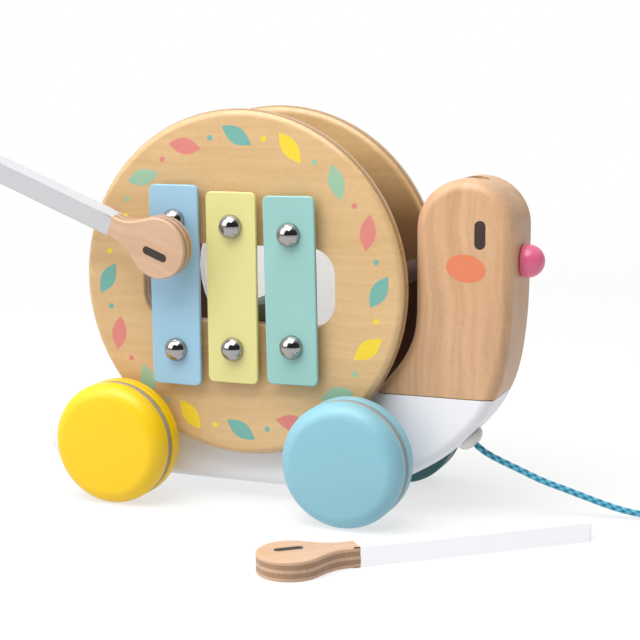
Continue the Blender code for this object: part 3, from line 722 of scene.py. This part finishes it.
def shell():
    ring = arc((0.0, 0.0), SHELL_RADIUS, 0, 358.5, 239)
    window = rounded_rectangle(*WINDOW_SIZE, WINDOW_CORNER, WINDOW_AT, 14)
    drum_hole = arc((0.0, 0.0), DRUM_HOLE_RADIUS, 0, 357, 119)
    near = middle("shell_disc_near")
    far = middle("shell_disc_far")
    for label, hole, centre in (("near", window, near), ("far", drum_hole, far)):
        shape = board([ring, hole], SHELL_THICKNESS)
        round_edges(shape, SHELL_ROUNDING, 8, lambda spot: spot.length > 0.9 * SHELL_RADIUS)
        round_edges(shape, 0.0004, 3, lambda spot: spot.length < 0.8 * SHELL_RADIUS)
        look = plywood(
            f"shell plywood {label}", SHELL_THICKNESS, PLY, 5, inner_side=-1 if label == "near" else 1
        )
        place = Matrix.Translation((TOY.x, centre.y, SHELL_HEIGHT)) @ STANDING
        piece(f"shell_board_{label}", shape, look.material, place, ("shell_disc_" + label,))
    # The dowels' beech is drawn near black: painted shade for the dark inside of the shell
    wood = beech("cross dowel painted shade", (0.085, 0.045, 0.035), "Y", 0.6, 0.0)
    for end in ("front", "rear"):
        node = "shell_spacer_" + end
        half = extent(node).y / 2
        radius = extent(node).x / 2
        profile = [(0.0, half), (radius, half), (radius, -half), (0.0, -half)]
        place = Matrix.Translation(middle(node)) @ toward((0, 1, 0))
        piece("cross_dowel_" + end, turned(profile, 48), wood, place, (node,))


def inside_the_shell():
    """The gong on its post, and the drum's skin."""
    steel = metal("gong steel", (0.20, 0.23, 0.21), 0.32, 0.00001)
    gong = middle("bell_gong")
    radius = extent("bell_gong").x / 2
    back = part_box("bell_gong")[1].y
    depth = extent("bell_gong").y
    wall = 0.0012
    profile = [(0.0022, depth)]
    profile += [(radius * t, depth * (1 - 0.28 * t**2)) for t in (0.3, 0.5, 0.65, 0.76)]
    profile += [(radius * 0.84, depth * 0.72), (radius * 0.91, depth * 0.45), (radius, 0.0)]
    profile += [(radius - wall, 0.0), (radius * 0.84 - wall, depth * 0.72 - wall)]
    profile += [(radius * t - wall / 2, depth * (1 - 0.28 * t**2) - wall) for t in (0.7, 0.5, 0.3)]
    profile += [(0.0022, depth - wall)]
    place = Matrix.Translation((gong.x, back, gong.z)) @ toward((0, -1, 0))
    piece("gong", turned(profile, 96, True), steel, place, ("bell_gong",))
    frame["nodes"]["bell_screw"].data.materials[0] = metal("gong screw", (0.6, 0.6, 0.6), 0.25)
    bare = beech("bare beech", BEECH, "Y", 0.6, 0.0)
    for node in ("bell_post", "head_dowel_1", "head_dowel_2", "shell_pin_1", "shell_pin_2"):
        frame["nodes"][node].data.materials[0] = bare
    frame["nodes"]["drum_skin"].data.materials[0] = drum_film()


def drum_film():
    """Milky film. A little light of its own stands in for what it passes from the drum's open side."""
    look = Look("drum film", roughness=0.4)
    fibres = look.noise((700.0, 700.0, 700.0), 4.0)
    colour = look.mix(fibres, (0.84, 0.84, 0.86), (0.92, 0.92, 0.94))
    look.colour(colour)
    look.tree.links.new(colour, look.shader.inputs["Emission Color"])
    look.shader.inputs["Emission Strength"].default_value = FILM_GLOW
    look.shader.inputs["Subsurface Weight"].default_value = 1.0
    look.shader.inputs["Subsurface Radius"].default_value = (1.0, 1.0, 1.0)
    look.shader.inputs["Subsurface Scale"].default_value = 0.006
    look.bump(fibres, 0.00002)
    return look.material


# ---------------------------------------------------------------- xylophone

BAR_COLOURS = {
    "bar_long": (0.345, 0.585, 0.760),
    "bar_middle": (0.765, 0.720, 0.285),
    "bar_short": (0.315, 0.590, 0.555),
}


def xylophone():
    chrome = metal("chromed steel", (0.44, 0.42, 0.42), 0.06)
    felt = soft_matter("grey felt", (0.18, 0.16, 0.14), 2600.0, 0.00015)
    for name, colour in BAR_COLOURS.items():
        length = extent(name).z
        tilt = Matrix.Rotation(math.radians(-BAR_TILT[name]), 4, "Y")
        shape = board([rounded_rectangle(BAR_WIDTH, length, BAR_CORNER)], BAR_THICKNESS)
        round_edges(shape, 0.0006, 5)
        place = Matrix.Translation(middle(name)) @ tilt @ STANDING
        piece(name + "_plate", shape, enamel(name + " enamel", colour), place, (name,))
        for end in ("top", "bottom"):
            label = f"{name.replace('bar_', '')}_{end}"
            screw(label, chrome)
            pad(label, felt)


def screw(label, chrome):
    node = "screw_" + label
    centre = middle(node)
    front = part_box(node)[0].y
    base = -SCREW_DOME
    profile = [
        (SCREW_RADIUS * math.sin(t), base + SCREW_DOME * math.cos(t))
        for t in (math.radians(4.3 * i) for i in range(21))
    ]
    profile += [(SCREW_RADIUS, base + 0.0001), (SCREW_RADIUS - 0.0002, base)]
    profile += [(0.002, base), (0.002, base - 0.006), (0.0, base - 0.006)]
    place = Matrix.Translation((centre.x, front, centre.z)) @ toward((0, -1, 0))
    piece("dome_screw_" + label, turned(profile, 64), chrome, place, (node,))


def pad(label, felt):
    node = "pad_" + label
    half = extent(node).y / 2
    radius = extent(node).x / 2
    ease = 0.0005
    profile = [(0.0023, half), (radius - ease, half)]
    profile += arc((radius - ease, half - ease), ease, 90, 0, 4)[1:]
    profile += arc((radius - ease, ease - half), ease, 0, -90, 4)
    profile += [(0.0023, -half)]
    place = Matrix.Translation(middle(node)) @ toward((0, 1, 0))
    piece("felt_pad_" + label, turned(profile, 40, True), felt, place, (node,))


# ---------------------------------------------------------------- running gear

WHEEL_COLOURS = {
    "rear_near": (1.0, 0.640, 0.001),
    "front_near": (0.270, 0.555, 0.660),
    "rear_far": (0.300, 0.570, 0.660),
    "front_far": (0.030, 0.150, 0.160),
}


def wheel_profile():
    """A gently domed face, a full shoulder, the tyre's groove and the flange behind it."""
    shoulder = 0.0072
    tilt = 6.0
    middle_radius = WHEEL_RADIUS - shoulder
    drop = 0.0006
    middle_height = WHEEL_OUTER - drop - shoulder
    edge = arc((middle_radius, middle_height), shoulder, 90 - tilt, 0, 16)
    start_radius, start_height = edge[0]
    crown = WHEEL_OUTER - start_height
    profile = [
        (start_radius * t, WHEEL_OUTER - crown * t**2) for t in (0.0, 0.2, 0.4, 0.6, 0.75, 0.88)
    ]
    profile += edge
    groove = TYRE_SECTION + 0.0003
    floor = WHEEL_RADIUS - 2 * TYRE_SECTION - 0.0004
    lip = 0.0005
    upper = arc((WHEEL_RADIUS - lip, TYRE_MIDDLE + groove + lip), lip, 0, -90, 4)
    lower = arc((WHEEL_RADIUS - lip, TYRE_MIDDLE - groove - lip), lip, 90, 0, 4)
    profile += upper + [(floor, TYRE_MIDDLE + groove), (floor, TYRE_MIDDLE - groove)] + lower
    inner = 0.0016
    profile += arc((WHEEL_RADIUS - inner, WHEEL_INNER + inner), inner, 0, -90, 8)
    return profile + [(0.0038, WHEEL_INNER), (0.0038, WHEEL_INNER + 0.012), (0.0, WHEEL_INNER + 0.012)]


def running_gear():
    rubber = soft_matter("tyre rubber", (0.36, 0.31, 0.28), 1500.0, 0.00004, 0.6, 0.0)
    plastic = soft_matter("spacer plastic", (0.78, 0.78, 0.76), 900.0, 0.00002, 0.45, 0.0)
    steel = metal("axle steel", (0.62, 0.62, 0.63), 0.3, 0.00001)
    ring_radius = WHEEL_RADIUS - 0.0001 - TYRE_SECTION
    ring = [
        (ring_radius + TYRE_SECTION * math.cos(t), TYRE_MIDDLE + TYRE_SECTION * math.sin(t))
        for t in (2 * math.pi * i / 20 for i in range(20))
    ]
    for label, colour in WHEEL_COLOURS.items():
        end, side = label.split("_")
        way = -1 if side == "near" else 1
        centre = middle("wheel_" + label)
        place = Matrix.Translation((centre.x, TOY.y, centre.z)) @ toward((0, way, 0))
        paint = lacquer(f"{label} lacquer", colour, 0.40, 0.12, 0.00014, 0.05)
        piece("turned_wheel_" + label, turned(wheel_profile(), 144), paint, place, ("wheel_" + label,))
        piece("rubber_ring_" + label, turned(ring, 144, True), rubber, place, ("tyre_" + label,))
        node = "spacer_" + label
        half = extent(node).y / 2
        tube = [(0.0040, half), (0.0065, half), (0.0065, -half), (0.0040, -half)]
        place = Matrix.Translation(middle(node)) @ toward((0, 1, 0))
        piece("tube_" + node, turned(tube, 48, True), plastic, place, (node,))
        frame["nodes"][end + "_axle"].data.materials[0] = steel


# ---------------------------------------------------------------- cord


def cord_path():
    """The cord's middle: out of the bead, down to the floor, four turns and a quarter, into the ball."""
    start = Vector((CHIN[0], 0.0, CHIN[1]))
    floor = CORD_DIAMETER / 2 + 0.0001
    outer = COIL_RADIUS + CORD_DIAMETER / 2
    arrival = COIL_CENTRE[1] + outer
    low = COIL_LIFT + CORD_DIAMETER / 2
    ball = middle("pull_ball") - TOY
    side = COIL_CENTRE[0] + outer
    route = [
        start - CHIN_DIRECTION * 0.0060,
        start + CHIN_DIRECTION * 0.0045,
        (0.1068, 0.0003, 0.0281),
        (0.1118, 0.0006, 0.0254),
        (0.1218, 0.0016, 0.0211),
        (0.1333, 0.0034, 0.0160),
        (0.1440, 0.0055, 0.0122),
        (0.1562, 0.0086, 0.0076),
        (0.1660, 0.0110, 0.0043),
        (0.1752, 0.0133, 0.0023),
        (0.1850, 0.0156, floor),
        (COIL_CENTRE[0] - 0.0124, arrival - 0.0013, floor + 0.0004),
    ]
    turns, steps = 4.25, 16
    for i in range(int(turns * steps) + 1):
        turn = i / steps
        angle = math.radians(90) - 2 * math.pi * turn
        inward = smooth(turn, 0.88, 1.12) - smooth(turn, 2.88, 3.12)
        upward = smooth(turn, 1.88, 2.12)
        radius = outer - CORD_DIAMETER * inward
        height = low + CORD_DIAMETER * upward
        x = COIL_CENTRE[0] + radius * math.cos(angle)
        route.append((x, COIL_CENTRE[1] + radius * math.sin(angle), height))
    route += [
        (side - 0.0003, COIL_CENTRE[1] - 0.0075, low + CORD_DIAMETER),
        (side - 0.0002, COIL_CENTRE[1] - 0.0125, low + CORD_DIAMETER + 0.0004),
        (side - 0.0004, COIL_CENTRE[1] - 0.0170, low + CORD_DIAMETER + 0.0022),
        (ball.x, ball.y + 0.0092, ball.z),
        (ball.x, ball.y + 0.0050, ball.z),
        (ball.x, ball.y + 0.0005, ball.z),
    ]
    return [Vector(p) + TOY for p in flow(route, 6)] + [Vector(route[-1]) + TOY]


def smooth(value, start, end):
    t = min(1.0, max(0.0, (value - start) / (end - start)))
    return t * t * (3 - 2 * t)


def evenly(path, step):
    """The path again, with points a step apart."""
    found, carried = [path[0]], 0.0
    for a, b in zip(path, path[1:]):
        length = (b - a).length
        reach = step - carried
        while reach <= length:
            found.append(a.lerp(b, reach / length))
            reach += step
        carried = length - (reach - step)
    return found


def braid_height(around, along):
    """How high the braid stands, from 0 in a groove to 1 on a strand."""
    strands, pitch = 3, 0.0132
    twist = 2 * math.pi * strands * along / pitch
    one = math.sin((strands * around + twist) / 2)
    other = math.sin((strands * around - twist) / 2)
    over, under = (one, other) if one * other > 0 else (other, one)
    return math.sqrt(abs(over)) * (0.45 + 0.55 * abs(under))


def cord():
    path = evenly(cord_path(), CORD_STEP)
    sides = 24
    shape = bmesh.new()
    crest = shape.verts.layers.float_color.new("crest")
    rings = []
    side = Vector((0.0, 1.0, 0.0))
    for i, spot in enumerate(path):
        heading = (path[min(i + 1, len(path) - 1)] - path[max(i - 1, 0)]).normalized()
        side = (side - heading * side.dot(heading)).normalized()
        over = heading.cross(side)
        ring = []
        for j in range(sides):
            around = 2 * math.pi * j / sides
            height = braid_height(around, i * CORD_STEP)
            radius = CORD_DIAMETER / 2 * (0.84 + 0.16 * height)
            out = side * math.cos(around) + over * math.sin(around)
            vert = shape.verts.new(spot + out * radius)
            vert[crest] = (height, height, height, 1.0)
            ring.append(vert)
        rings.append(ring)
    for a, b in zip(rings, rings[1:]):
        for j in range(sides):
            shape.faces.new((a[j], b[j], b[(j + 1) % sides], a[(j + 1) % sides]))
    shape.faces.new(rings[0])
    shape.faces.new(reversed(rings[-1]))
    bmesh.ops.recalc_face_normals(shape, faces=shape.faces)
    obj = piece(
        "braided_cord",
        shape,
        braid_material(),
        Matrix.Identity(4),
        ("cord", "cord_coil", "cord_tail"),
        weigh=False,
    )
    tie = coil_tie()
    ball = pull_ball()


def braid_material():
    look = Look("blue braid", roughness=0.62, sheen=0.35)
    crest = look.add("ShaderNodeAttribute", attribute_name="crest").outputs["Fac"]
    fibres = look.noise((5200.0, 5200.0, 5200.0), 3.0)
    # Painted shade: the colour darkens from the strand tops down into the grooves between them
    strands = look.ramp(
        crest,
        (0.22, (0.004, 0.065, 0.140)),
        (0.50, (0.035, 0.350, 0.540)),
        (0.88, (0.150, 0.600, 0.800)),
    )
    look.colour(look.mix(0.6, strands, look.ramp(fibres, (0.3, 0.72), (0.7, 1.0)), "MULTIPLY"))
    look.bump(fibres, 0.00008)
    return look.material


def coil_tie():
    """A woven tie round the coil's turns."""
    size = extent("coil_tie")
    wall = 0.0005
    outer = rounded_rectangle(size.x, size.z, 0.0015, steps=6)
    inner = rounded_rectangle(size.x - 2 * wall, size.z - 2 * wall, 0.0011, steps=6)
    shape = board([outer, inner], size.y)
    round_edges(shape, 0.00012, 2)
    look = Look("tie tape", roughness=0.8, sheen=0.4)
    tones = (0.74, 0.71, 0.66)
    weave = look.noise((300.0, 300.0, 5000.0), 2.0)
    look.colour(look.mix(weave, shade(tones, 0.8), shade(tones, 1.12)))
    look.bump(weave, 0.0001)
    place = Matrix.Translation(middle("coil_tie")) @ STANDING
    return piece("woven_tie", shape, look.material, place, ("coil_tie",))


def pull_ball():
    start = math.degrees(math.acos(CORD_BORE / BALL_RADIUS))
    profile = arc((0.0, 0.0), BALL_RADIUS, start, -start, 40)
    profile += [(CORD_BORE, -BALL_RADIUS * 0.9), (CORD_BORE, BALL_RADIUS * 0.9)]
    place = Matrix.Translation(middle("pull_ball")) @ toward((0, 1, 0))
    wood = beech("ball beech", BEECH, "Y", 0.35, 0.4)
    return piece("turned_ball", turned(profile, 72, True), wood, place, ("pull_ball",))


def chin_bead():
    """The ivory bead that the cord comes out of."""
    profile = [
        (BEAD_RADIUS * math.sin(t), BEAD_HEIGHT * math.cos(t))
        for t in (math.radians(18 + 4.0 * i) for i in range(19))
    ]
    profile.insert(0, (CORD_BORE, profile[0][1] - 0.0002))
    profile += [(BEAD_RADIUS - 0.0003, -0.0002), (CORD_BORE, -0.0002)]
    ivory = lacquer("ivory lacquer", (0.80, 0.785, 0.73), 0.22, 0.6, 0.00001, 0.03)
    place = at_toy(CHIN[0], 0.0, CHIN[1], toward(CHIN_DIRECTION))
    piece("chin_bead", turned(profile, 64, True), ivory, place, ("cord_gland",))


# ---------------------------------------------------------------- mallets

MALLET_PLY = (0.72, 0.475, 0.320)
# How bright each stick's white is drawn, as painted light on the floor mallet and painted shade on the
# held one, and how much painted light of its own it gives off
MALLET_WHITE_LIGHT_AND_SHADE = {"mallet_floor": 1.06, "mallet_striking": 0.66}
MALLET_PAINTED_GLOW = {"mallet_floor": 0.24, "mallet_striking": 0.0}
DARK_BROWN = (0.032, 0.017, 0.014)
# Where each mallet's head stands in the toy's measures, and its turns in degrees
FLOOR_MALLET_AT = (0.0569, -0.1053)
FLOOR_MALLET_TURN = 39.2
HELD_MALLET_AT = (-0.0305, -0.0433, 0.1199)
HELD_MALLET_SLOPE = 21.7
HELD_MALLET_ROLL = -6.5
NECK_END = 0.0290
STICK_CORNER = 0.0022


def mallet_outline():
    """A round head on a straight stick, lying along +X from the head's middle."""
    half = MALLET_STICK_WIDTH / 2
    end = MALLET_LENGTH - MALLET_HEAD_RADIUS
    corner = STICK_CORNER
    outline = arc((0.0, 0.0), MALLET_HEAD_RADIUS, 48, 312, 80)
    lower = [outline[-1], (0.0150, -0.0068), (0.0205, -0.0050), (NECK_END, -half)]
    outline += flow(lower, 10)[1:]
    outline += [(NECK_END, -half)]
    outline += arc((end - corner, -half + corner), corner, -90, 0, 8)
    outline += arc((end - corner, half - corner), corner, 0, 90, 8)
    upper = [(x, -y) for x, y in reversed(lower)]
    return outline + flow(upper, 10)


def mallet_material(node):
    """Plywood with its plies round the edge, and a stick dipped in white whose brightness per mallet is
    painted light and shade, and which may glow a little with painted light.
    """
    look = plywood(node + " plywood", MALLET_THICKNESS, MALLET_PLY, 5, 0.15, 0.35)
    bare = look.shader.inputs["Base Color"].links[0].from_socket
    ragged = look.math("MULTIPLY", look.noise((500.0, 500.0, 500.0), 2.0), 0.0005)
    edge = look.math("ADD", look.axis("X"), ragged)
    painted = look.math("GREATER_THAN", edge, MALLET_PAINT_FROM[node])
    clouds = look.noise((90.0, 400.0, 400.0), 3.0)
    # Painted light and shade: one white paint, drawn brighter on one mallet and darker on the other
    tone = shade(WHITE, MALLET_WHITE_LIGHT_AND_SHADE[node])
    white = look.mix(clouds, shade(tone, 0.97), shade(tone, 1.03))
    look.colour(look.mix(painted, bare, white))
    # Painted light: the white stick glows a little
    look.tree.links.new(white, look.shader.inputs["Emission Color"])
    glow = look.math("MULTIPLY", painted, MALLET_PAINTED_GLOW[node])
    look.tree.links.new(glow, look.shader.inputs["Emission Strength"])
    return look.material


def mallet_matrix(node):
    """Where a mallet's own frame stands: its middle is at the head, and +X runs along the stick."""
    if node == "mallet_floor":
        turn = Matrix.Rotation(math.radians(FLOOR_MALLET_TURN), 4, "Z")
        return at_toy(*FLOOR_MALLET_AT, middle(node).z, turn)
    slope = Matrix.Rotation(math.radians(180 - HELD_MALLET_SLOPE), 4, "Z")
    roll = Matrix.Rotation(math.radians(HELD_MALLET_ROLL), 4, "X")
    return at_toy(*HELD_MALLET_AT, STANDING @ slope @ roll)


def mallets():
    ink = print_ink("mallet ink", DARK_BROWN, 0.02)
    for node in ("mallet_floor", "mallet_striking"):
        shape = board([mallet_outline()], MALLET_THICKNESS)
        round_edges(shape, 0.0008, 4)
        place = mallet_matrix(node)
        piece(node + "_board", shape, mallet_material(node), place, (node,))
        mark = stadium(0.0123, 0.0038, (0.0, 0.0027))
        prints(node + "_mark", [mark], ink, place, MALLET_THICKNESS / 2, BODY_OF[node])


# ---------------------------------------------------------------- printed marks

EYE_AT = (0.1092, 0.1274)
EYE_SIZE = (0.0124, 0.0049)
CHEEK_AT = (0.1031, 0.1128)
CHEEK_HALF_SIZE = (0.0088, 0.0060)
CHEEK_TILT = -8


def stadium(length, width, centre=(0.0, 0.0), upright=False):
    size = (width, length) if upright else (length, width)
    return rounded_rectangle(*size, width / 2 - 1e-6, centre, 16)


def prints(name, outlines, ink, place, face, body):
    """Thin layers of ink on a flat face, one for each outline."""
    whole = bmesh.new()
    for i, outline in enumerate(outlines):
        height = PRINT_THICKNESS * (1 + 0.05 * i)
        layer = board([outline], height, face - PRINT_THICKNESS / 4)
        mesh = bpy.data.meshes.new("layer")
        layer.to_mesh(mesh)
        layer.free()
        whole.from_mesh(mesh)
        bpy.data.meshes.remove(mesh)
    return piece(name, whole, ink, place, body=body)


def head_prints():
    brown = print_ink("eye ink", DARK_BROWN, 0.02)
    coral = print_ink("cheek ink", (0.80, 0.205, 0.085))
    eye = stadium(*EYE_SIZE, EYE_AT, True)
    tilt = math.radians(CHEEK_TILT)
    cheek = []
    for i in range(72):
        a = 2 * math.pi * i / 72
        x, y = CHEEK_HALF_SIZE[0] * math.cos(a), CHEEK_HALF_SIZE[1] * math.sin(a)
        spot = (x * math.cos(tilt) - y * math.sin(tilt), x * math.sin(tilt) + y * math.cos(tilt))
        cheek.append((CHEEK_AT[0] + spot[0], CHEEK_AT[1] + spot[1]))
    mirror = Matrix.Rotation(math.radians(180), 4, "Z")
    for side, turn in (("near", STANDING), ("far", mirror @ STANDING)):
        place = at_toy(0.0, 0.0, 0.0, turn)
        way = 1 if side == "near" else -1
        for label, outline, ink in (("eye", eye, brown), ("cheek", cheek, coral)):
            spots = [(x * way, y) for x, y in outline]
            prints(
                f"{label}_print_{side}", [spots], ink, place, BODY_THICKNESS / 2, "toy"
            )


def ahead(spot, angle, distance):
    """The point at a distance from a spot, in a direction in degrees."""
    turn = math.radians(angle)
    return (spot[0] + distance * math.cos(turn), spot[1] + distance * math.sin(turn))


def leaf(centre, angle, length, width, steps=20):
    """A plain almond leaf, pointed at both ends, lying along a direction."""
    base = ahead(centre, angle + 180, length / 2)
    sides = ([], [])
    for i in range(steps + 1):
        t = i / steps
        spine = ahead(base, angle, length * t)
        for side, way in zip(sides, (90, -90)):
            side.append(ahead(spine, angle + way, width / 2 * math.sin(math.pi * t)))
    return sides[0][:-1] + sides[1][:0:-1]


LEAF_INKS = {
    "teal": (0.130, 0.440, 0.390),
    "coral": (0.735, 0.205, 0.185),
    "mint": (0.300, 0.545, 0.375),
    "yellow": (0.940, 0.690, 0.005),
}
LEAVES_PER_INK = 4
LEAF_SIZE = (0.0165, 0.0075)
LEAF_RING_RADIUS = 0.0668
LEAF_TILT = 30
DOT_RADIUS = 0.0013


def disc_prints():
    """An even ring of plain leaves with dots between them, in four inks by turns, on both discs."""
    mirror = Matrix.Rotation(math.radians(180), 4, "Z")
    spacing = 360 / (len(LEAF_INKS) * LEAVES_PER_INK)
    for number, (ink_name, tone) in enumerate(LEAF_INKS.items()):
        ink = print_ink(ink_name + " ink", tone)
        shapes = []
        for i in range(LEAVES_PER_INK):
            angle = spacing * (number + i * len(LEAF_INKS))
            spot = ahead((0.0, 0.0), angle, LEAF_RING_RADIUS)
            between = ahead((0.0, 0.0), angle + spacing / 2, LEAF_RING_RADIUS)
            shapes.append(leaf(spot, angle + 90 - LEAF_TILT, *LEAF_SIZE))
            shapes.append(arc(between, DOT_RADIUS, 0, 345, 23))
        for side, turn in (("near", STANDING), ("far", mirror @ STANDING)):
            node = "shell_disc_" + side
            place = Matrix.Translation((TOY.x, middle(node).y, SHELL_HEIGHT)) @ turn
            name = f"{ink_name}_leaves_{side}"
            prints(name, shapes, ink, place, SHELL_THICKNESS / 2, "toy")


add_camera()
cord()
chin_bead()
add_world()
add_softbox("overhead softbox", -12, 66, 1.15, 1.1, 0.9, 14.5)
add_softbox("left fill", -46, 28, 1.8, 1.4, 1.4, 12.6)
add_floor()
body()
nose()
shell()
inside_the_shell()
xylophone()
running_gear()
mallets()
head_prints()
disc_prints()

bpy.context.scene.view_settings.view_transform = "Standard"
